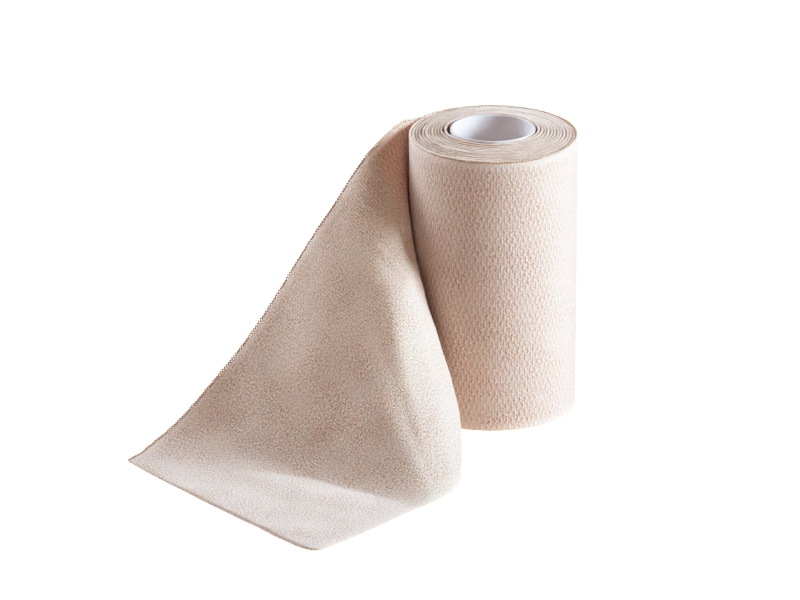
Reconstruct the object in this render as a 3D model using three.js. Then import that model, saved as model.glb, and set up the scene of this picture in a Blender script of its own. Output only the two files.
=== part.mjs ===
// Cohesive compression bandage: a wound roll that stands on its end, on a plastic tube, with its loose
// end pulled out to the left. The loose end turns over one soft ridge and lies flat up to its cut end.
// Millimetres, +Z up. The roll's axis is x = y = 0 until the last lines centre the part on its base.

import * as THREE from 'three';
import { mergeVertices } from 'three/addons/utils/BufferGeometryUtils.js';

const BAND_WIDTH = 100;
const CLOTH = 1.2;
const ROLL_RADIUS = 30.4;
const TURN_PITCH = 1.1;
const TURN_STATIONS = 60;
const LEVELS = 16;

// The loose end leaves the roll along a curved line, at these degrees round the roll: it starts at
// LEAVING_LOW, swells forward at first, and peels back more and more towards the upper edge. It is
// parted from the turn below it after ROOT_LENGTH.
const LEAVING_LOW = 196;
const LEAVING_SWELL = 26;
const LEAVING_PEEL = 82;
const ROOT_LENGTH = 5.5;

// Free corner at the lower edge of the cut end.
const CORNER_RADIUS = 9;

const CORE_RADIUS = 14.9;
const CORE_BORE = 13.95;
const CORE_TOP = 102.1;
const CORE_BOTTOM = 2.1;
const RIM = 0.3;
const FIT_GAP = 0.37;
const CORE_SEGMENTS = 72;

// Groups of turns from the outside inwards: the inner ones stand a little higher than the outer ones,
// and a shallow groove parts each group from the next.
const WOUND_TURNS = [
  { radius: 28.6, top: 100.0, bottom: 0 },
  { radius: 25.2, top: 100.5, bottom: 0 },
  { radius: 22.3, top: 101.0, bottom: 0.7 },
  { radius: 19.8, top: 101.5, bottom: 1.4 },
  { radius: 17.3, top: 101.7, bottom: 2.0 },
];
const GROOVE_HALF = 0.25;
const GROOVE_DEPTH = 0.5;

// The loose end, row by row from the roll to the cut end. Each row crosses the strip from its lower
// edge, `low`, to its upper edge, `high`, both as x, y and z. `bow` moves the middle of the row towards
// the inner face, `push` moves its lower part sideways in x and y, most of all at a fifth of the way
// up, and `steps` counts the rows that lead up to it.
const FOLDS = [
  { low: [-12.4, -64.0, 0], high: [-31.7, 10.6, 100.2], bow: -4.6, push: [4.6, 9.0], steps: 8 },
  { low: [-13.4, -82.0, 0], high: [-34.5, 7.3, 99.3], bow: -3.8, push: [2.6, 11.0], steps: 5 },
  { low: [-15.2, -86.4, 0], high: [-38.5, 2.5, 97.0], bow: -2.2, push: [0.5, 7.0], steps: 4 },
  { low: [-17.2, -89.8, 0], high: [-46.8, -4.6, 88.8], bow: 0, push: [-2.6, 5.0], steps: 4 },
  { low: [-19.0, -92.6, 0], high: [-57.4, -11.2, 74.6], bow: -1.2, push: [-1.6, 3.0], steps: 4 },
  { low: [-20.9, -95.1, 0], high: [-68.4, -17.2, 58.6], bow: -1.0, push: [0.5, 1.0], steps: 4 },
  { low: [-22.8, -97.6, 0], high: [-84.6, -26.2, 34.9], bow: -1.4, push: [1.5, -0.5], steps: 4 },
  { low: [-24.9, -99.9, 0], high: [-97.8, -34.7, 19.9], bow: -3.0, push: [1.5, -1.0], steps: 4 },
  { low: [-28.5, -104.0, 0], high: [-108.8, -43.2, 8.7], bow: -4.0, push: [0, 0], steps: 4 },
  { low: [-36.0, -113.0, 0], high: [-116.8, -50.6, 3.9], bow: -3.0, push: [0, 0], steps: 3 },
  { low: [-48.0, -127.0, 0], high: [-121.8, -56.4, 1.8], bow: -1.8, push: [0, 0], steps: 3 },
  { low: [-61.0, -142.4, 0.5], high: [-126.0, -61.0, 0.9], bow: -0.9, push: [0, 0], steps: 9 },
];
const PUSH_PEAK = 12.2;

const CLOTH_COLOUR = 0xd6c2b7;
const CORE_COLOUR = 0xe6e7ea;

function leavingAngle(level) {
  return LEAVING_LOW + LEAVING_SWELL * level - LEAVING_PEEL * level ** 3;
}

function polar(radius, degrees, height) {
  const angle = THREE.MathUtils.degToRad(degrees);
  return new THREE.Vector3(radius * Math.cos(angle), radius * Math.sin(angle), height);
}

// A point on the last turn, `back` degrees before the line where the loose end leaves.
function turnPoint(back, level) {
  const degrees = leavingAngle(level) - back;
  return polar(ROLL_RADIUS - (TURN_PITCH * (LEAVING_LOW - degrees)) / 360, degrees, BAND_WIDTH * level);
}

function leavingHeading(level) {
  return polar(1, leavingAngle(level) + 90, 0);
}

function rowEnds(index) {
  if (index < 0) return { low: foldPoint(index, 0), high: foldPoint(index, 1) };
  const fold = FOLDS[index];
  return { low: new THREE.Vector3(...fold.low), high: new THREE.Vector3(...fold.high) };
}

function rowMiddle(index) {
  const { low, high } = rowEnds(index);
  return low.add(high).multiplyScalar(0.5);
}

// A point on a row of the loose end's outer face. Row -2 is the leaving line and row -1 the root.
function foldPoint(index, level) {
  if (index === -2) return turnPoint(0, level);
  if (index === -1) return turnPoint(0, level).addScaledVector(leavingHeading(level), ROOT_LENGTH);
  const fold = FOLDS[index];
  const { low, high } = rowEnds(index);
  const across = high.clone().sub(low);
  const onward = rowMiddle(Math.min(index + 1, FOLDS.length - 1)).sub(rowMiddle(index - 1));
  const inward = across.clone().cross(onward).normalize();
  const bow = 4 * level * (1 - level) * fold.bow;
  const pushed = PUSH_PEAK * level * (1 - level) ** 4;
  low.addScaledVector(across, level).addScaledVector(inward, bow);
  return low.add(new THREE.Vector3(...fold.push, 0).multiplyScalar(pushed));
}

// The direction in which the strip runs on through a row.
function foldHeading(index, level) {
  if (index < 0) return leavingHeading(level);
  const here = foldPoint(index, level);
  const before = here.clone().sub(foldPoint(index - 1, level));
  const lengthBefore = before.length();
  before.divideScalar(lengthBefore);
  if (index === FOLDS.length - 1) return before;
  const after = foldPoint(index + 1, level).sub(here);
  const lengthAfter = after.length();
  after.divideScalar(lengthAfter);
  before.multiplyScalar(lengthAfter).addScaledVector(after, lengthBefore);
  return before.divideScalar(lengthBefore + lengthAfter);
}

// A point between the row before `index` and the row itself, with t from 0 to 1.
function loosePoint(index, t, level) {
  const from = foldPoint(index - 1, level);
  const to = foldPoint(index, level);
  const span = from.distanceTo(to);
  const point = from.multiplyScalar(2 * t ** 3 - 3 * t ** 2 + 1);
  point.addScaledVector(foldHeading(index - 1, level), span * (t ** 3 - 2 * t ** 2 + t));
  point.addScaledVector(to, 3 * t ** 2 - 2 * t ** 3);
  point.addScaledVector(foldHeading(index, level), span * (t ** 3 - t ** 2));
  point.z = Math.max(point.z, 0);
  return point;
}

// How far across the strip its lower edge starts, `distance` before the cut end.
function cornerStart(distance) {
  if (distance >= CORNER_RADIUS) return 0;
  const inset = CORNER_RADIUS - Math.sqrt(CORNER_RADIUS ** 2 - (CORNER_RADIUS - distance) ** 2);
  return inset / BAND_WIDTH;
}

const levels = Array.from({ length: LEVELS + 1 }, (_, j) => j / LEVELS);

function turnRows() {
  return Array.from({ length: TURN_STATIONS }, (_, k) => {
    return levels.map((level) => turnPoint((360 * k) / TURN_STATIONS, level));
  });
}

// The outer face of the loose end, from the root to the cut end.
function looseRows() {
  const rows = [levels.map((level) => foldPoint(-1, level))];
  FOLDS.forEach((fold, index) => {
    const lowSpan = foldPoint(index - 1, 0).distanceTo(foldPoint(index, 0));
    for (let step = 1; step <= fold.steps; step += 1) {
      const t = step / fold.steps;
      const start = index === FOLDS.length - 1 ? cornerStart(lowSpan * (1 - t)) : 0;
      rows.push(levels.map((level) => loosePoint(index, t, start + (1 - start) * level)));
    }
  });
  return rows;
}

// The inner face, one thickness of cloth behind the outer one and never below the surface.
function behindRows(rows) {
  return rows.map((row, i) => {
    const before = rows[Math.max(i - 1, 0)];
    const after = rows[Math.min(i + 1, rows.length - 1)];
    return row.map((point, j) => {
      const along = after[j].clone().sub(before[j]);
      const across = row[Math.min(j + 1, LEVELS)].clone().sub(row[Math.max(j - 1, 0)]);
      const behind = point.clone().addScaledVector(across.cross(along).normalize(), CLOTH);
      behind.z = Math.max(behind.z, 0);
      return behind;
    });
  });
}

// Rings of the roll's upper or lower end, from the turn just inside the outline to the bore.
function endRings(side) {
  const sign = side === 'top' ? 1 : -1;
  const rings = [];
  WOUND_TURNS.forEach((turns, i) => {
    const next = WOUND_TURNS[i + 1];
    const innerRadius = next ? next.radius : CORE_RADIUS + FIT_GAP;
    rings.push({ radius: turns.radius - GROOVE_HALF, height: turns[side] });
    if (!next) {
      rings.push({ radius: innerRadius, height: turns[side] });
      return;
    }
    rings.push({ radius: innerRadius + GROOVE_HALF, height: turns[side] });
    const rim = sign * Math.min(sign * turns[side], sign * next[side]);
    if (side === 'top') rings.push({ radius: innerRadius, height: rim - GROOVE_DEPTH });
  });
  return rings;
}

function bandageGeometry() {
  const turn = turnRows();
  const outer = looseRows();
  const inner = behindRows(outer);
  const corners = [];
  const quad = (a, b, c, d) => corners.push(a, b, c, a, c, d);

  // Outline of the cloth: round the last turn, out along the inner face, back along the outer face.
  const outline = [...turn, ...inner, ...outer.slice().reverse()];
  outline.forEach((row, i) => {
    const next = outline[(i + 1) % outline.length];
    for (let j = 0; j < LEVELS; j += 1) quad(row[j + 1], next[j + 1], next[j], row[j]);
  });

  const root = turn[TURN_STATIONS - 1];
  [0, LEVELS].forEach((j) => {
    const flat = j === 0 ? (a, b, c, d) => quad(d, c, b, a) : quad;
    flat(turn[0][j], outer[0][j], inner[0][j], root[j]);
    for (let i = 0; i < outer.length - 1; i += 1) {
      flat(outer[i][j], outer[i + 1][j], inner[i + 1][j], inner[i][j]);
    }
    let edge = turn.map((row) => row[j]);
    endRings(j === 0 ? 'bottom' : 'top').forEach(({ radius, height }) => {
      const ring = turn.map((row) => {
        const radial = new THREE.Vector3(row[j].x, row[j].y, 0).setLength(radius);
        return radial.setZ(height);
      });
      ring.forEach((point, k) => {
        const onward = (k + 1) % TURN_STATIONS;
        flat(edge[k], point, ring[onward], edge[onward]);
      });
      edge = ring;
    });
  });

  // The bore's wall runs straight up, so its rows end on other stations of the upper ring.
  const bore = CORE_RADIUS + FIT_GAP;
  const innermost = WOUND_TURNS[WOUND_TURNS.length - 1];
  const station = 360 / TURN_STATIONS;
  const twist = (leavingAngle(1) - leavingAngle(0)) % station;
  const wall = turn.map((row, k) => levels.map((level) => {
    const height = THREE.MathUtils.lerp(innermost.bottom, innermost.top, level);
    return polar(bore, leavingAngle(0) - station * k + twist * level, height);
  }));
  wall.forEach((row, k) => {
    const next = wall[(k + 1) % TURN_STATIONS];
    for (let j = 0; j < LEVELS; j += 1) quad(row[j], next[j], next[j + 1], row[j + 1]);
  });

  const soup = new THREE.BufferGeometry().setFromPoints(corners);
  const geometry = mergeVertices(soup, 1e-4);
  geometry.computeVertexNormals();
  return geometry;
}

// A tube around Z with eased rims.
function coreGeometry() {
  const profile = [
    [CORE_BORE + RIM, CORE_BOTTOM],
    [CORE_RADIUS - RIM, CORE_BOTTOM],
    [CORE_RADIUS, CORE_BOTTOM + RIM],
    [CORE_RADIUS, CORE_TOP - RIM],
    [CORE_RADIUS - RIM, CORE_TOP],
    [CORE_BORE + RIM, CORE_TOP],
    [CORE_BORE, CORE_TOP - RIM],
    [CORE_BORE, CORE_BOTTOM + RIM],
    [CORE_BORE + RIM, CORE_BOTTOM],
  ];
  const geometry = new THREE.LatheGeometry(profile.map(([x, y]) => new THREE.Vector2(x, y)), CORE_SEGMENTS);
  geometry.rotateX(Math.PI / 2);
  return geometry;
}

function part(name, geometry, colour, roughness) {
  const material = new THREE.MeshStandardMaterial({ color: colour, roughness, metalness: 0 });
  const mesh = new THREE.Mesh(geometry, material);
  mesh.name = name;
  return mesh;
}

const group = new THREE.Group();
group.add(part('bandage', bandageGeometry(), CLOTH_COLOUR, 0.95));
group.add(part('core', coreGeometry(), CORE_COLOUR, 0.4));

// The origin is the middle of the part's box, at its base.
const box = new THREE.Box3().setFromObject(group);
const middle = box.getCenter(new THREE.Vector3());
group.position.set(-middle.x, -middle.y, -box.min.z);

export default group;
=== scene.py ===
import math

import bpy
import numpy as np
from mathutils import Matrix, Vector


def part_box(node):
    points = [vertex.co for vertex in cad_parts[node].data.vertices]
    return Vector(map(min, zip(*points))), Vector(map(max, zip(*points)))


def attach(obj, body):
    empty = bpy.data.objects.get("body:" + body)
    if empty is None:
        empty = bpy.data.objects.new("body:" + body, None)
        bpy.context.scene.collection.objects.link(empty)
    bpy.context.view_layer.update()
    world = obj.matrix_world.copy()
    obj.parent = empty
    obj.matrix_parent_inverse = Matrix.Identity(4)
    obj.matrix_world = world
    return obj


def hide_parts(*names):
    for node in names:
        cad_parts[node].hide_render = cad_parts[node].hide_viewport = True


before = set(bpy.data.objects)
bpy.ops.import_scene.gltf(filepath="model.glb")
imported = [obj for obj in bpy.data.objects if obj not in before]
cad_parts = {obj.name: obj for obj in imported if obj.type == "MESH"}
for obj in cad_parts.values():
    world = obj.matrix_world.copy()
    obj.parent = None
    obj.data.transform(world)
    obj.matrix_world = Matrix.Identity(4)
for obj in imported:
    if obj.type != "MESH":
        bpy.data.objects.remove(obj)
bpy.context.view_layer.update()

MM = 0.001
TAU = 2 * math.pi

# The strip's sizes, in millimetres and degrees
BAND_WIDTH = 100.0
ROLL_RADIUS = 30.4
TURN_PITCH = 1.1
LEAVING_LOW = 196.0
LEAVING_SWELL = 26.0
LEAVING_PEEL = 82.0
ROOT_LENGTH = 5.5
CORNER_RADIUS = 9.0
CORE_RADIUS = 14.9
CORE_BORE = 13.95
CORE_TOP = 102.1
CORE_BOTTOM = 2.1

# The real cloth is a little thinner than the solid's sheet
CLOTH = 0.92
SOLID_CLOTH = 1.2
EDGE_ROUND = 0.42
# The lowest that any cloth lies above the floor, and about how far the wound strip clears the tube
FLOOR_GAP = 0.02
TUBE_GAP = 0.5

FULL_SPACING = 1.3

# Degrees back to where the last turn's mesh starts, from the leaving line, and to where the turn under
# it ends straight across, from that line's lower end
LAST_TURN = 366.0
STRAIGHT_TURN = 766.0

# Mesh of the second turn, and of the turns inside it
SECOND_LEVELS = 26
SECOND_STATIONS = 96
INNER_LEVELS = 4
INNER_STEP = 4.5

# Rows of the loose end: low edge xyz, high edge xyz, bow, push xy, as in the solid
FOLDS = [
    ((-12.4, -64.0, 0.0), (-31.7, 10.6, 100.2), -4.6, (4.6, 9.0)),
    ((-13.4, -82.0, 0.0), (-34.5, 7.3, 99.3), -3.8, (2.6, 11.0)),
    ((-15.2, -86.4, 0.0), (-38.5, 2.5, 97.0), -2.2, (0.5, 7.0)),
    ((-17.2, -89.8, 0.0), (-46.8, -4.6, 88.8), 0.0, (-2.6, 5.0)),
    ((-19.0, -92.6, 0.0), (-57.4, -11.2, 74.6), -1.2, (-1.6, 3.0)),
    ((-20.9, -95.1, 0.0), (-68.4, -17.2, 58.6), -1.0, (0.5, 1.0)),
    ((-22.8, -97.6, 0.0), (-84.6, -26.2, 34.9), -1.4, (1.5, -0.5)),
    ((-24.9, -99.9, 0.0), (-97.8, -34.7, 19.9), -3.0, (1.5, -1.0)),
    ((-28.5, -104.0, 0.0), (-108.8, -43.2, 8.7), -4.0, (0.0, 0.0)),
    ((-36.0, -113.0, 0.0), (-116.8, -50.6, 3.9), -3.0, (0.0, 0.0)),
    ((-48.0, -127.0, 0.0), (-121.8, -56.4, 1.8), -1.8, (0.0, 0.0)),
    ((-61.0, -142.4, 0.5), (-126.0, -61.0, 0.9), -0.9, (0.0, 0.0)),
]
PUSH_PEAK = 12.2

# How far the turns stand up, by their radius
RISE_RADII = [15.2, 17.3, 19.8, 22.3, 25.2, 28.6, 30.4]
RISE_HEIGHTS = [1.75, 1.6, 1.3, 0.85, 0.4, 0.05, 0.0]
FRONT_DROP = 0.9

# Soft ridges (+) and troughs (-) of the loose end: from and to on the strip (along, across),
# half-width and height
CREASES = [
    ((38.0, 82.0), (60.0, 70.0), 25.0, 2.2),
    ((47.0, 58.0), (68.0, 38.0), 15.0, 1.4),
    ((12.0, 66.0), (24.0, 68.0), 11.0, -1.5),
    ((4.0, 95.0), (8.0, 92.0), 12.0, 1.0),
    ((40.0, 42.0), (52.0, 30.0), 10.0, -0.8),
    ((86.0, 48.0), (97.0, 30.0), 9.0, -0.6),
    ((97.0, 92.0), (99.0, 86.0), 13.0, -1.2),
    ((112.0, 22.0), (114.0, 66.0), 12.0, 0.8),
]
# The upper edge leans back: how far, how wide the leaning band is, and where along the strip it
# comes and goes
EDGE_CURL = 1.5
CURL_WIDTH = 42.0
CURL_IN = 18.0
CURL_OUT = 112.0
CURL_FADE = 24.0

# Fine upright flutes where the loose end leaves the roll
FLUTE_PITCH = 4.3
FLUTE_DEPTH = 0.5
FLUTE_START = 3.0
FLUTE_END = 30.0

# Small waves of the loose end
WAVE_COUNT = 26
WAVE_SIZE = 0.03

# The loose end gets thinner towards its edges, over this width and down to this share
THIN_WIDTH = 2.5
THIN_SHARE = 0.55

# The selvedge's small loops
LOOP_PITCH = 1.05
LOOP_REACH = 0.85
LOOP_YARN = 0.46
LOOP_SINK = 0.12
LOOP_MARGIN = 0.3

core_low, core_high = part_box("core")
AXIS = np.array([(core_low[0] + core_high[0]) / 2, (core_low[1] + core_high[1]) / 2, 0.0]) / MM


def unit(v):
    return v / np.maximum(np.linalg.norm(v, axis=-1, keepdims=True), 1e-12)


def smooth_noise(seed, cells):
    """Periodic 1-D value noise: returns f(x) for x in turns of `cells` cells."""
    values = np.random.default_rng(seed).uniform(-1, 1, cells)

    def f(x):
        x = np.asarray(x, float)
        i = np.floor(x).astype(int)
        t = x - i
        t = t * t * (3 - 2 * t)
        return values[i % cells] * (1 - t) + values[(i + 1) % cells] * t
    return f


# The strip's surface

def leaving_angle(level):
    return LEAVING_LOW + LEAVING_SWELL * level - LEAVING_PEEL * level**3


def turn_radius(back, level):
    return ROLL_RADIUS - TURN_PITCH * (LEAVING_LOW - leaving_angle(level) + back) / 360


def turn_points(back, level):
    radius = turn_radius(back, level)
    angle = np.radians(leaving_angle(level) - back)
    return np.stack([radius * np.cos(angle), radius * np.sin(angle), BAND_WIDTH * level], -1)


def leaving_heading(level):
    angle = np.radians(leaving_angle(level) + 90)
    return np.stack([np.cos(angle), np.sin(angle), 0 * angle], -1)


def row_middle(index):
    if index < 0:
        return fold_points(index, np.array([0.0, 1.0])).mean(0)
    low, high = FOLDS[index][:2]
    return (np.array(low) + np.array(high)) / 2


def fold_points(index, level):
    """Row -2 is the leaving line and row -1 the root."""
    if index == -2:
        return turn_points(0.0, level)
    if index == -1:
        return turn_points(0.0, level) + ROOT_LENGTH * leaving_heading(level)
    low, high, bow, push = FOLDS[index]
    low, high, push = np.array(low), np.array(high), np.array([*push, 0.0])
    onward = row_middle(min(index + 1, len(FOLDS) - 1)) - row_middle(index - 1)
    inward = unit(np.cross(high - low, onward))
    level = level[:, None]
    point = low + (high - low) * level
    point = point + inward * (4 * level * (1 - level) * bow)
    return point + push * (PUSH_PEAK * level * (1 - level) ** 4)


def fold_heading(index, level):
    if index < 0:
        return leaving_heading(level)
    here = fold_points(index, level)
    before = here - fold_points(index - 1, level)
    a = np.linalg.norm(before, axis=1, keepdims=True)
    if index == len(FOLDS) - 1:
        return before / a
    after = fold_points(index + 1, level) - here
    b = np.linalg.norm(after, axis=1, keepdims=True)
    return (before / a * b + after / b * a) / (a + b)


def loose_points(index, t, level):
    start, end = fold_points(index - 1, level), fold_points(index, level)
    span = np.linalg.norm(end - start, axis=1, keepdims=True)
    point = (2 * t**3 - 3 * t**2 + 1) * start + (t**3 - 2 * t**2 + t) * span * fold_heading(index - 1, level)
    point = point + (3 * t**2 - 2 * t**3) * end + (t**3 - t**2) * span * fold_heading(index, level)
    point[:, 2] = np.maximum(point[:, 2], 0)
    return point


def corner_start(distance):
    if distance >= CORNER_RADIUS:
        return 0.0
    return (CORNER_RADIUS - math.sqrt(CORNER_RADIUS**2 - (CORNER_RADIUS - distance) ** 2)) / BAND_WIDTH


def edge_levels(count):
    """Levels across the strip, with close rows at both edges so that they can be round."""
    near = np.array([0.0, 0.0016, 0.0045])
    inside = np.linspace(0.012, 0.988, count)
    return np.concatenate([near, inside, 1 - near[::-1]])


def edge_depth(level):
    """Share of the cloth's thickness at this level: the edges are round."""
    off = np.minimum(level, 1 - level) * BAND_WIDTH
    x = np.clip(1 - off / EDGE_ROUND, 0, 1)
    return np.sqrt(np.clip(1 - x**2, 0.04, 1))


def loose_grid(level, spacing):
    """Outer face of the loose end, its rows about `spacing` apart, and each row's levels."""
    rows, used = [fold_points(-1, level)], [level]
    probes = np.array([0.0, 0.5, 1.0])
    for index in range(len(FOLDS)):
        length = np.linalg.norm(fold_points(index, probes) - fold_points(index - 1, probes), axis=1)
        steps = max(3, int(math.ceil(length.mean() / spacing)))
        last = index == len(FOLDS) - 1
        for step in range(1, steps + 1):
            t = step / steps
            start = corner_start(length[0] * (1 - t)) if last else 0.0
            lv = start + (1 - start) * level
            rows.append(loose_points(index, t, lv))
            used.append(lv)
    return np.array(rows), np.array(used)


def grid_normals(points):
    """Unit normals towards the strip's inner face."""
    along = np.gradient(points, axis=0)
    across = np.gradient(points, axis=1)
    return unit(np.cross(across, along))


def strip_mesh(outer, inner, strip):
    """A closed mesh from two grids of points, with the strip's own coordinates as an attribute."""
    rows, cols = outer.shape[:2]
    count = rows * cols
    verts = np.concatenate([outer.reshape(-1, 3), inner.reshape(-1, 3)]) * MM
    i, j = np.meshgrid(np.arange(rows - 1), np.arange(cols - 1), indexing="ij")
    a = (i * cols + j).ravel()
    face_out = np.stack([a, a + cols, a + cols + 1, a + 1], 1)
    face_in = np.stack([a, a + 1, a + cols + 1, a + cols], 1) + count
    r = np.arange(rows - 1) * cols
    low = np.stack([r, count + r, count + r + cols, r + cols], 1)
    h = r + cols - 1
    high = np.stack([h, h + cols, count + h + cols, count + h], 1)
    c = np.arange(cols - 1)
    first = np.stack([c, c + 1, count + c + 1, count + c], 1)
    e = (rows - 1) * cols + c
    last = np.stack([e, count + e, count + e + 1, e + 1], 1)
    faces = np.concatenate([face_out, face_in, low, high, first, last])
    coords = np.concatenate([strip.reshape(-1, 3), strip.reshape(-1, 3) + [0, 0, 1]])
    return verts, faces, coords


def make_object(name, verts, faces, coords, material):
    mesh = bpy.data.meshes.new(name)
    mesh.vertices.add(len(verts))
    mesh.vertices.foreach_set("co", verts.astype(np.float32).ravel())
    mesh.loops.add(faces.size)
    mesh.loops.foreach_set("vertex_index", faces.astype(np.int32).ravel())
    mesh.polygons.add(len(faces))
    mesh.polygons.foreach_set("loop_start", np.arange(0, faces.size, faces.shape[1], dtype=np.int32))
    mesh.polygons.foreach_set("use_smooth", np.ones(len(faces), bool))
    if coords is not None:
        layer = mesh.attributes.new("strip", "FLOAT_VECTOR", "POINT")
        layer.data.foreach_set("vector", coords.astype(np.float32).ravel())
    mesh.update()
    mesh.validate()
    mesh.materials.append(material)
    obj = bpy.data.objects.new(name, mesh)
    bpy.context.collection.objects.link(obj)
    return obj


# Materials

class Nodes:
    """A new material with short ways to add its nodes."""

    def __init__(self, name):
        self.material = bpy.data.materials.new(name)
        self.material.use_nodes = True
        self.tree = self.material.node_tree
        self.shader = self.tree.nodes["Principled BSDF"]

    def put(self, socket, value):
        if isinstance(value, bpy.types.NodeSocket):
            self.tree.links.new(value, socket)
        else:
            socket.default_value = value

    def new(self, kind, **settings):
        node = self.tree.nodes.new(kind)
        for key, value in settings.items():
            setattr(node, key, value)
        return node

    def math(self, operation, *values):
        node = self.new("ShaderNodeMath", operation=operation)
        for socket, value in zip(node.inputs, values):
            self.put(socket, value)
        return node.outputs[0]

    def wave(self, value, pitch, phase=0.0):
        """A sine of the given pitch, from -1 to 1."""
        turned = self.math("MULTIPLY_ADD", value, TAU / pitch, phase)
        return self.math("SINE", turned)

    def noise(self, vector, scale, detail=2.0, rough=0.5):
        node = self.new("ShaderNodeTexNoise")
        self.put(node.inputs["Vector"], vector)
        node.inputs["Scale"].default_value = scale
        node.inputs["Detail"].default_value = detail
        node.inputs["Roughness"].default_value = rough
        return node.outputs["Fac"]

    def combine(self, x, y, z=0.0):
        node = self.new("ShaderNodeCombineXYZ")
        for socket, value in zip(node.inputs, (x, y, z)):
            self.put(socket, value)
        return node.outputs[0]

    def fit(self, value, a, b, c, d):
        """The value's place between a and b, carried over to c and d and held there."""
        node = self.new("ShaderNodeMapRange")
        node.clamp = True
        for socket, v in zip(node.inputs, (value, a, b, c, d)):
            self.put(socket, v)
        return node.outputs[0]

    def between(self, share, at_zero, at_one):
        return self.fit(share, 0.0, 1.0, at_zero, at_one)

    def centred(self, value):
        return self.math("SUBTRACT", value, 0.5)

    def mix(self, factor, a, b, blend="MIX"):
        node = self.new("ShaderNodeMix", data_type="RGBA", blend_type=blend)
        node.clamp_factor = True
        self.put(node.inputs[0], factor)
        self.put(node.inputs[6], a)
        self.put(node.inputs[7], b)
        return node.outputs[2]


# The weave's pitches in millimetres, along the strip (ribs, lattice) and across it
RIB_PITCH = 0.985
LATTICE_PITCH = 1.97
LATTICE_REPEAT = 5.2
BEAD_REPEAT = 1.7

# How strongly each part of the weave stands up; of two values, the first is the roll's and the second
# the loose end's
LATTICE_HEIGHT = (0.26, 0.05)
RIB_HEIGHT = (0.13, 0.21)
BEAD_HEIGHT = 0.14
WEAVE_HEIGHT = (0.95, 0.3)
GRAIN_HEIGHT = (1.1, 2.7)
FINE_HEIGHT = 1.1
# The scale of the finest grain across the strip, on the roll and on the loose end
FINE_STRETCH = (0.7, 1.2)

# Colours of the threads, with painted shade in their gaps and painted highlight on their tops, the patches,
# the painted light tints of the roll and the loose end, and the edges
THREAD_GAP_SHADE = (0.42, 0.29, 0.22, 1)
THREAD = (0.77, 0.615, 0.535, 1)
THREAD_TOP_HIGHLIGHT = (0.98, 0.90, 0.85, 1)
WARM_PATCH = (0.80, 0.645, 0.585, 1)
COOL_PATCH = (0.745, 0.655, 0.57, 1)
# painted light: the roll and the loose end are one cloth, tinted apart for the different light on them
ROLL_LIGHT_TINT = (0.985, 0.985, 0.995, 1)
LOOSE_LIGHT_TINT = (0.99, 1.063, 1.08, 1)
NEAR_EDGE = (0.92, 0.82, 0.77, 1)
EDGE = (0.93, 0.73, 0.61, 1)
LOOP = (0.54, 0.45, 0.40, 1)


def thread_height(n, s, w, loose, free):
    """Ribs, lattice and beads of the weave with a grain over them. They change from the roll, where `loose`
    and `free` are 0, to the loose end."""
    flat = n.combine(s, w)
    # the threads wander a little
    drift = n.centred(n.noise(flat, scale=0.25))
    jitter = n.centred(n.noise(n.combine(w, s), scale=1.1, detail=1.0))
    sway = n.centred(n.noise(flat, scale=0.45))
    s_warp = n.math("ADD", s, n.math("MULTIPLY_ADD", jitter, 0.4, drift))
    w_warp = n.math("ADD", w, n.math("MULTIPLY", sway, 2.0))
    ribs = n.wave(s_warp, RIB_PITCH)
    lattice = n.math("MULTIPLY", n.wave(s_warp, LATTICE_PITCH), n.wave(w_warp, LATTICE_REPEAT))
    beads = n.math("MULTIPLY", n.wave(s_warp, LATTICE_PITCH, phase=1.57), n.wave(w_warp, BEAD_REPEAT))
    weave = n.math("MULTIPLY", lattice, n.between(free, *LATTICE_HEIGHT))
    weave = n.math("MULTIPLY_ADD", ribs, n.between(free, *RIB_HEIGHT), weave)
    weave = n.math("MULTIPLY_ADD", beads, BEAD_HEIGHT, weave)
    weave = n.math("MULTIPLY", weave, n.between(loose, *WEAVE_HEIGHT))
    grain = n.centred(n.noise(flat, scale=1.55, detail=1.0, rough=0.6))
    grain = n.math("MULTIPLY", grain, n.between(loose, *GRAIN_HEIGHT))
    fine_across = n.math("MULTIPLY", w, n.between(loose, *FINE_STRETCH))
    fine_place = n.combine(n.math("MULTIPLY", s, 2.0), fine_across)
    fine = n.centred(n.noise(fine_place, scale=1.1, detail=1.0, rough=0.6))
    return n.math("ADD", n.math("ADD", weave, grain), n.math("MULTIPLY_ADD", fine, FINE_HEIGHT, 0.5))


def thread_colour(n, s, w, height, free):
    """Thread colour with painted shade in the warm gaps and painted highlight on the pale tops, soft patches
    of cooler and warmer yarn, a painted cooler light on the loose end, and a warmer edge.
    """
    # darker in the weave's hollows and paler on its tops: painted shade in the gaps and painted highlight on
    # the thread tops
    colour = n.mix(n.fit(height, -0.1, 0.6, 0.0, 1.0), THREAD_GAP_SHADE, THREAD)
    colour = n.mix(n.fit(height, 0.6, 1.2, 0.0, 1.0), colour, THREAD_TOP_HIGHLIGHT)
    warm = n.noise(n.combine(s, w), scale=0.07, detail=3.0, rough=0.6)
    colour = n.mix(n.fit(warm, 0.42, 0.62, 0.0, 0.30), colour, WARM_PATCH)
    cool = n.noise(n.combine(w, s), scale=0.085, detail=3.0, rough=0.6)
    colour = n.mix(n.fit(cool, 0.42, 0.62, 0.0, 0.32), colour, COOL_PATCH)
    # the loose end is tinted cooler than the roll: painted light, for the cooler light that falls on it
    colour = n.mix(1.0, colour, n.mix(free, ROLL_LIGHT_TINT, LOOSE_LIGHT_TINT), "MULTIPLY")
    # millimetres from the nearer edge, below zero on the selvedge's loops
    off = n.math("MINIMUM", w, n.math("SUBTRACT", BAND_WIDTH, w))
    colour = n.mix(n.fit(off, 0.3, 3.6, 0.45, 0.0), colour, NEAR_EDGE)
    colour = n.mix(n.fit(off, 0.0, 0.5, 0.85, 0.0), colour, EDGE)
    on_loop = n.math("MULTIPLY", n.fit(off, -0.3, 0.0, 0.85, 0.0), free)
    return n.mix(on_loop, colour, LOOP)


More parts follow.
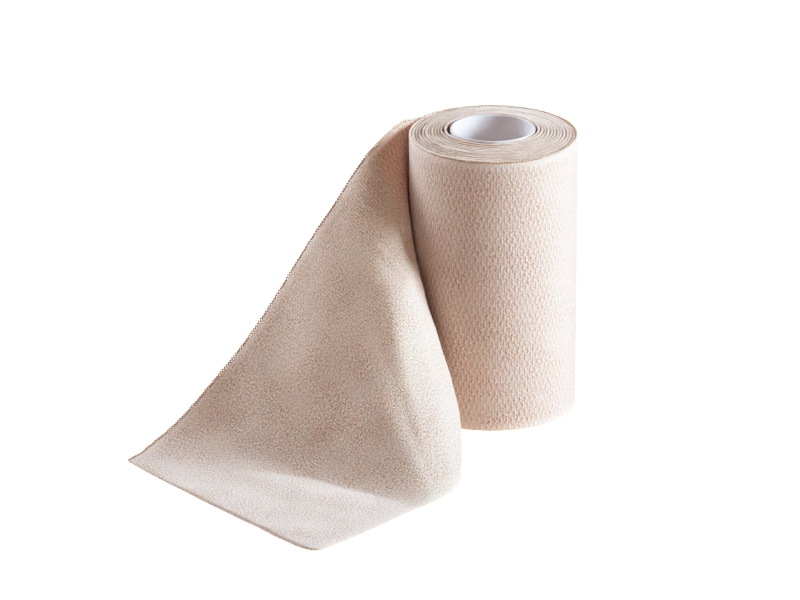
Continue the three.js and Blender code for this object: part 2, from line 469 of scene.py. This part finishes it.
def crepe_material():
    n = Nodes("crepe")
    strip = n.new("ShaderNodeAttribute", attribute_name="strip").outputs["Vector"]
    parts = n.new("ShaderNodeSeparateXYZ")
    n.put(parts.inputs[0], strip)
    s, w = parts.outputs[:2]
    # both are 0 on the roll and 1 on the loose end: one changes slowly, one at the leaving line
    loose = n.fit(s, 8.0, 75.0, 0.0, 1.0)
    free = n.fit(s, -3.0, 5.0, 0.0, 1.0)
    height = thread_height(n, s, w, loose, free)
    n.put(n.shader.inputs["Base Color"], thread_colour(n, s, w, height, free))
    n.shader.inputs["Roughness"].default_value = 0.92
    # the thin cloth lets a little warm light through
    n.shader.inputs["Subsurface Weight"].default_value = 0.4
    n.shader.inputs["Subsurface Radius"].default_value = (1.0, 0.65, 0.42)
    n.shader.inputs["Subsurface Scale"].default_value = 0.0020
    n.shader.inputs["Specular IOR Level"].default_value = 0.25
    n.shader.inputs["Sheen Weight"].default_value = 0.6
    n.shader.inputs["Sheen Roughness"].default_value = 0.5
    n.shader.inputs["Sheen Tint"].default_value = (1.0, 0.96, 0.94, 1)
    bump = n.new("ShaderNodeBump")
    bump.inputs["Strength"].default_value = 0.65
    bump.inputs["Distance"].default_value = 0.0003
    n.put(bump.inputs["Height"], height)
    n.put(n.shader.inputs["Normal"], bump.outputs[0])
    return n.material


def core_material():
    n = Nodes("white_tube")
    place = n.new("ShaderNodeTexCoord").outputs["Object"]
    cloud = n.noise(place, 60.0, 2.0)
    colour = n.mix(n.fit(cloud, 0.3, 0.7, 0.0, 1.0), (0.88, 0.86, 0.865, 1), (0.90, 0.88, 0.885, 1))
    n.put(n.shader.inputs["Base Color"], colour)
    n.put(n.shader.inputs["Roughness"], n.fit(n.noise(place, 900.0, 2.0), 0.3, 0.7, 0.33, 0.45))
    return n.material


crepe = crepe_material()
white_tube = core_material()


# The wound strip: noises for its edges, each with its seed and its number of cells
EDGE_WOBBLE = smooth_noise(11, 997)
EDGE_GAP = smooth_noise(12, 991)
EDGE_RISE = smooth_noise(13, 983)
EDGE_FUZZ = smooth_noise(14, 977)
EDGE_OPEN = smooth_noise(15, 31)


def rise_at(radius):
    return np.interp(radius, RISE_RADII, RISE_HEIGHTS)


def front_drop(theta):
    """The outer turns stand a little lower at the front."""
    return FRONT_DROP * (0.5 - 0.5 * np.sin(theta))


def wound_strip(total, level):
    """A piece of the wound strip. `total` has the degrees run back from the turn's start, one row for
    each station and one column for each level."""
    lv = np.broadcast_to(level, total.shape)
    radius = ROLL_RADIUS - TURN_PITCH * (LEAVING_LOW - total) / 360
    turn = (LEAVING_LOW - total) / 360
    # 1 at both edges and 0 from a tenth of the width inwards
    edge = np.clip((np.abs(lv - 0.5) - 0.40) / 0.1, 0, 1)
    # each noise has its size in millimetres before it, and in it its changes in one turn
    radius = radius + edge * (0.09 * EDGE_WOBBLE(turn * 9.3) + 0.07 * EDGE_GAP(turn * 31.0))
    theta = np.radians(total)
    rise = rise_at(radius) + 0.22 * EDGE_RISE(turn * 0.41) + 0.05 * EDGE_RISE(turn * 4.1)
    rise = rise + 0.07 * EDGE_FUZZ(turn * 47.0) * edge - front_drop(theta) * np.clip((radius - 24) / 6, 0, 1)
    z = BAND_WIDTH * lv + lv * rise + (1 - lv) * np.maximum(rise, FLOOR_GAP)
    outer = np.stack([radius * np.cos(theta), radius * np.sin(theta), z], -1)
    normal = np.stack([-np.cos(theta), -np.sin(theta), 0 * theta], -1)
    # the turns nearly fill their pitch, but are thinner here and there and further in
    opening = np.clip(EDGE_OPEN(turn * 0.83) + 0.09 * (turn - 9), 0, 1)
    fill = 1.18 - 0.24 * opening + 0.04 * EDGE_GAP(turn * 17.0)
    depth = CLOTH * np.maximum(edge_depth(lv), 0.86) * fill
    shift = normal * ((CLOTH - depth) / 2)[..., None]
    inner = outer + normal * depth[..., None]
    s = -np.pi * (ROLL_RADIUS**2 - radius**2) / TURN_PITCH
    strip = np.stack([s, BAND_WIDTH * lv, 0 * s], -1)
    return strip_mesh(outer + shift, inner + shift, strip)


def turns_meshes():
    """The inner turns: the second one starts along the leaving line and ends straight across."""
    straight = LEAVING_LOW - STRAIGHT_TURN
    level = edge_levels(SECOND_LEVELS)
    t = np.linspace(0, 1, SECOND_STATIONS)[:, None]
    second = (leaving_angle(level) - LAST_TURN) * (1 - t) + straight * t
    inner_end = LEAVING_LOW - 360 * (ROLL_RADIUS - CORE_RADIUS - TUBE_GAP - CLOTH) / TURN_PITCH
    inner_level = edge_levels(INNER_LEVELS)
    rest = np.arange(straight, inner_end, -INNER_STEP)[:, None] + 0 * inner_level
    # rows run from the inside to the outside, as in the loose end
    return wound_strip(second[::-1], level), wound_strip(rest[::-1], inner_level)


def unevenness(s, levels, on_loose):
    """Small waves of the loose end, the finer the lower; none on the last turn."""
    rng = np.random.default_rng(5)
    uneven = np.zeros(s.shape)
    for _ in range(WAVE_COUNT):
        kx, ky = rng.uniform(0.05, 0.42), rng.uniform(0.02, 0.30)
        wave = np.sin(kx * s + ky * levels * BAND_WIDTH * rng.choice([-1, 1]) + rng.uniform(0, TAU))
        uneven += wave * WAVE_SIZE / (kx + 0.3)
    count = np.argmax(on_loose[:, 0])
    uneven *= np.clip(0.5 + np.arange(len(s))[:, None] / count / 2, 0, 1) * 0.5
    return np.where(on_loose, uneven, 0.0)


def flutes(s, levels):
    """Upright flutes beside the leaving line, in the upper half of the strip."""
    flute = np.sin(TAU * s / FLUTE_PITCH + 1.4 * np.sin(levels * 9.0))
    window = np.clip((s - FLUTE_START) / 5, 0, 1) * np.clip((FLUTE_END - s) / 8, 0, 1)
    window = window * np.clip((levels - 0.45) / 0.2, 0, 1)
    return FLUTE_DEPTH * (0.5 + 0.5 * flute) * window * np.clip((1 - levels) / 0.08, 0, 1)


def outer_mesh(spacing):
    """The last turn and the loose end as one closed sheet."""
    level = edge_levels(int(BAND_WIDTH * 0.97 / spacing))
    step = math.degrees(spacing / ROLL_RADIUS)
    back = np.arange(LAST_TURN, 0, -step)
    lv = level[None, :]
    b = back[:, None]
    turn = turn_points(b, np.broadcast_to(lv, (len(back), len(level))))
    theta = np.radians(leaving_angle(lv) - b)
    turn[..., 2] *= 1 - front_drop(theta) / BAND_WIDTH * np.clip(b / 60, 0, 1)
    leave = turn_points(0.0, level)[None]
    root = [turn_points(0.0, level) + ROOT_LENGTH * t * leaving_heading(level) for t in (0.25, 0.5, 0.75)]
    loose, used = loose_grid(level, spacing)
    points = np.concatenate([turn, leave, np.array(root), loose])
    levels = np.concatenate([np.broadcast_to(level, (len(points) - len(used), len(level))), used])
    # strip coordinate along each level line, zero at the lower end of the leaving line
    gaps = np.linalg.norm(np.diff(points, axis=0), axis=2)
    s = np.concatenate([np.zeros((1, len(level))), np.cumsum(gaps, axis=0)])
    leaving_row = len(back)
    s = s - s[leaving_row] + np.radians(leaving_angle(level) - LEAVING_LOW) * ROLL_RADIUS
    row = np.arange(len(points))[:, None]
    past_leaving = row > leaving_row
    normal = grid_normals(points)
    # the loose end is thinner towards its edges and its cut end
    off = np.minimum(np.minimum(levels, 1 - levels) * BAND_WIDTH, np.abs(s[-1] - s))
    thin = THIN_SHARE + (1 - THIN_SHARE) * np.clip(off / THIN_WIDTH, 0, 1)
    thin = np.where(past_leaving, thin, 1.0)
    depth = CLOTH * edge_depth(levels) * thin
    spare = (SOLID_CLOTH - CLOTH) / 2
    shift = np.where(past_leaving, spare * 0.5, 0.0)
    uneven = unevenness(s, levels, row >= leaving_row) + flutes(s, levels)
    lift = np.clip(uneven, -0.05, 0.6) + crease_height(s, levels * BAND_WIDTH)
    outer = points + normal * (shift + (CLOTH - depth) / 2 + lift)[..., None]
    inner = outer + normal * depth[..., None]
    outer[..., 2] = np.maximum(outer[..., 2], FLOOR_GAP)
    inner[..., 2] = np.maximum(inner[..., 2], FLOOR_GAP)
    strip = np.stack([s, levels * BAND_WIDTH, 0 * s], -1)
    middle = (outer[:, -1] + inner[:, -1]) / 2
    outward = unit(outer[:, -2] - outer[:, -6])
    loops = selvedge(middle, outward, normal[:, -3], s[:, -1])
    return strip_mesh(outer, inner, strip), loops, float(s[-1].mean())


def crease_height(s, w):
    """How far the creases lift the loose end towards its inner face."""
    lift = np.zeros(s.shape)
    for start, end, half, height in CREASES:
        start, end = np.array(start), np.array(end)
        run = end - start
        t = np.clip(((s - start[0]) * run[0] + (w - start[1]) * run[1]) / (run @ run), 0, 1)
        away = np.hypot(s - start[0] - t * run[0], w - start[1] - t * run[1])
        lift += height * (0.5 + 0.5 * np.cos(np.pi * np.clip(away / half, 0, 1)))
    curl = np.clip((w - BAND_WIDTH + CURL_WIDTH) / CURL_WIDTH, 0, 1) ** 2
    curl *= np.clip(s / CURL_IN, 0, 1) * np.clip((CURL_OUT - s) / CURL_FADE, 0, 1)
    return lift - EDGE_CURL * curl


def selvedge(path, outward, normal, s):
    """A looped yarn along the upper edge, as a thin four-sided tube."""
    along = np.concatenate([[0], np.cumsum(np.linalg.norm(np.diff(path, axis=0), axis=1))])
    at = np.arange(LOOP_MARGIN, along[-1] - LOOP_MARGIN, LOOP_PITCH / 4)

    def take(values):
        return np.stack([np.interp(at, along, values[:, k]) for k in range(3)], -1)

    out, side = unit(take(outward)), unit(take(normal))
    size = 1 + 0.25 * EDGE_FUZZ(at / 1.7)
    reach = LOOP_REACH * size * np.abs(np.sin(np.pi * at / LOOP_PITCH)) - LOOP_SINK
    centre = take(path) + out * reach[:, None]
    centre[:, 2] = np.maximum(centre[:, 2], LOOP_YARN + FLOOR_GAP)
    ring = [out, side, -out, -side]
    verts = np.stack([centre + LOOP_YARN * d for d in ring], 1).reshape(-1, 3)
    i = np.arange(len(at) - 1)[:, None] * 4
    k = np.arange(4)[None, :]
    faces = np.stack([i + k, i + (k + 1) % 4, i + 4 + (k + 1) % 4, i + 4 + k], -1).reshape(-1, 4)
    end = len(verts)
    faces = np.concatenate([faces, [[3, 2, 1, 0], [end - 4, end - 3, end - 2, end - 1]]])
    strip_s = np.repeat(np.interp(at, along, s), 4)
    coords = np.stack([strip_s, np.full(end, BAND_WIDTH + 0.5), np.zeros(end)], -1)
    return verts * MM, faces, coords


def join(parts):
    """Several meshes as one, each a tuple of points, faces and strip coordinates."""
    verts, faces, coords, base = [], [], [], 0
    for v, f, c in parts:
        verts.append(v)
        faces.append(f + base)
        coords.append(c)
        base += len(v)
    return np.concatenate(verts), np.concatenate(faces), np.concatenate(coords)


outer_part, loops, loose_length = outer_mesh(FULL_SPACING)
verts, faces, coords = join([outer_part, loops, *turns_meshes()])
verts = verts + AXIS * MM
bandage = make_object("bandage_cloth", verts, faces, coords, crepe)
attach(bandage, "root")
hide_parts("bandage")


# The tube

def lathe(name, profile, segments, material):
    """A closed profile of (radius, height) turned round the roll's axis."""
    angle = np.arange(segments) * TAU / segments
    profile = np.array(profile)
    verts = np.stack([
        np.outer(np.cos(angle), profile[:, 0]),
        np.outer(np.sin(angle), profile[:, 0]),
        np.outer(np.ones(segments), profile[:, 1]),
    ], -1)
    count = len(profile)
    i, j = np.meshgrid(np.arange(segments), np.arange(count), indexing="ij")
    i2, j2 = (i + 1) % segments, (j + 1) % count
    faces = np.stack([i * count + j, i2 * count + j, i2 * count + j2, i * count + j2], -1).reshape(-1, 4)
    return make_object(name, (verts.reshape(-1, 3) + AXIS) * MM, faces, None, material)


def tube_profile():
    """The tube's wall with round rims."""
    half = (CORE_RADIUS - CORE_BORE) / 2
    middle = (CORE_RADIUS + CORE_BORE) / 2
    arc = np.linspace(0, math.pi, 9)
    bottom = [(middle - half * math.cos(a), CORE_BOTTOM + half - half * math.sin(a)) for a in arc]
    top = [(middle + half * math.cos(a), CORE_TOP - half + half * math.sin(a)) for a in arc]
    wall = np.linspace(CORE_BOTTOM + 1, CORE_TOP - 1, 14)
    return bottom + [(CORE_RADIUS, z) for z in wall] + top + [(CORE_BORE, z) for z in wall[::-1]]


core = lathe("core_tube", tube_profile(), 120, white_tube)
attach(core, "root")
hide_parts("core")


# Floor, light and camera: the floor's half width in metres, its glow, and what the camera sees on top
FLOOR_HALF = 6.0
FLOOR_GLOW = 0.2
FLOOR_GLOW_SEEN = 0.6


def floor_material():
    """A pale floor with an even glow, which is stronger where the camera sees it directly."""
    n = Nodes("floor_white")
    n.shader.inputs["Base Color"].default_value = (0.93, 0.93, 0.93, 1)
    n.shader.inputs["Roughness"].default_value = 0.9
    n.shader.inputs["Emission Color"].default_value = (1.0, 0.93, 0.84, 1)
    seen = n.new("ShaderNodeLightPath").outputs["Is Camera Ray"]
    n.put(n.shader.inputs["Emission Strength"], n.math("MULTIPLY_ADD", seen, FLOOR_GLOW_SEEN, FLOOR_GLOW))
    return n.material


mesh = bpy.data.meshes.new("floor")
corners = [(x * FLOOR_HALF, y * FLOOR_HALF, 0) for x, y in ((-1, -1), (1, -1), (1, 1), (-1, 1))]
mesh.from_pydata(corners, [], [(0, 1, 2, 3)])
mesh.materials.append(floor_material())
floor = bpy.data.objects.new("floor", mesh)
bpy.context.collection.objects.link(floor)

scene = bpy.context.scene
scene.cycles.diffuse_bounces = 8
# the surroundings give no light of their own: all of it comes from the lamps and the floor
world = bpy.data.worlds.new("studio")
scene.world = world
world.use_nodes = True
world.node_tree.nodes["Background"].inputs["Strength"].default_value = 0.0

CENTRE = Vector(AXIS * MM)
# The lamps point at the middle of the object, from the roll's axis
AIM = Vector((-0.03, -0.04, 0.04))


def lamp(name, azimuth, elevation, size, distance, power, colour):
    """A softbox round the object: azimuth from the right (+X) towards the front, in degrees."""
    a, e = math.radians(azimuth), math.radians(elevation)
    away = Vector((math.cos(a) * math.cos(e), -math.sin(a) * math.cos(e), math.sin(e)))
    light = bpy.data.lights.new(name, "AREA")
    light.shape = "SQUARE"
    light.size = size
    light.energy = power
    light.color = colour
    obj = bpy.data.objects.new(name, light)
    bpy.context.collection.objects.link(obj)
    obj.location = AIM + distance * away + CENTRE
    obj.rotation_euler = (-away).to_track_quat("-Z", "Y").to_euler()


lamp("key", azimuth=7, elevation=19, size=0.8, distance=1.8, power=38, colour=(0.88, 1.0, 1.10))
lamp("back_left", azimuth=212, elevation=31, size=1.2, distance=2.2, power=41, colour=(0.90, 1.0, 1.12))
lamp("top", azimuth=90, elevation=88, size=1.2, distance=2.2, power=4.2, colour=(1.0, 1.0, 0.95))
lamp("front", azimuth=118, elevation=28, size=1.2, distance=2.2, power=6.0, colour=(1.14, 1.0, 0.86))

# The camera as fitted to the photograph: its focal length is in the picture's own pixels
ELEVATION = math.radians(20.43)
DISTANCE = 2.2
FOCAL_PIXELS = 6250.74
PICTURE_WIDTH = 800
SENSOR_WIDTH = 36
TARGET = Vector((-0.032337, 0.0, 0.038043)) + CENTRE
LOOK = Vector((0.0, math.cos(ELEVATION), -math.sin(ELEVATION)))
camera_data = bpy.data.cameras.new("camera")
camera_data.sensor_width = SENSOR_WIDTH
camera_data.lens = FOCAL_PIXELS * SENSOR_WIDTH / PICTURE_WIDTH
camera_data.clip_start = 0.1
camera_data.clip_end = 30
camera = bpy.data.objects.new("camera", camera_data)
bpy.context.collection.objects.link(camera)
camera.location = TARGET - LOOK * DISTANCE
camera.rotation_euler = (math.radians(90) - ELEVATION, 0, 0)
scene.camera = camera
scene.view_settings.view_transform = "Standard"

# The photograph's own contrast, as light in and light out: deeper in the shade, soft at the bright end
CONTRAST = [(0.12, 0.07), (0.26, 0.20), (0.42, 0.395), (0.60, 0.63), (0.80, 0.85), (1.0, 0.96)]
BRIGHTEST = 1.3
# Its darker tones are the warmer ones
RED_TONES = [(0.15, 0.175), (0.35, 0.375), (0.7, 0.71)]
BLUE_TONES = [(0.10, 0.092), (0.25, 0.242), (0.6, 0.602)]
scene.view_settings.use_curve_mapping = True
mapping = scene.view_settings.curve_mapping
mapping.white_level = (BRIGHTEST,) * 3
red, _, blue, combined = mapping.curves
for light, shown in CONTRAST:
    combined.points.new(light / BRIGHTEST, shown)
for curve, tones in ((red, RED_TONES), (blue, BLUE_TONES)):
    for before, after in tones:
        curve.points.new(before, after)
mapping.update()
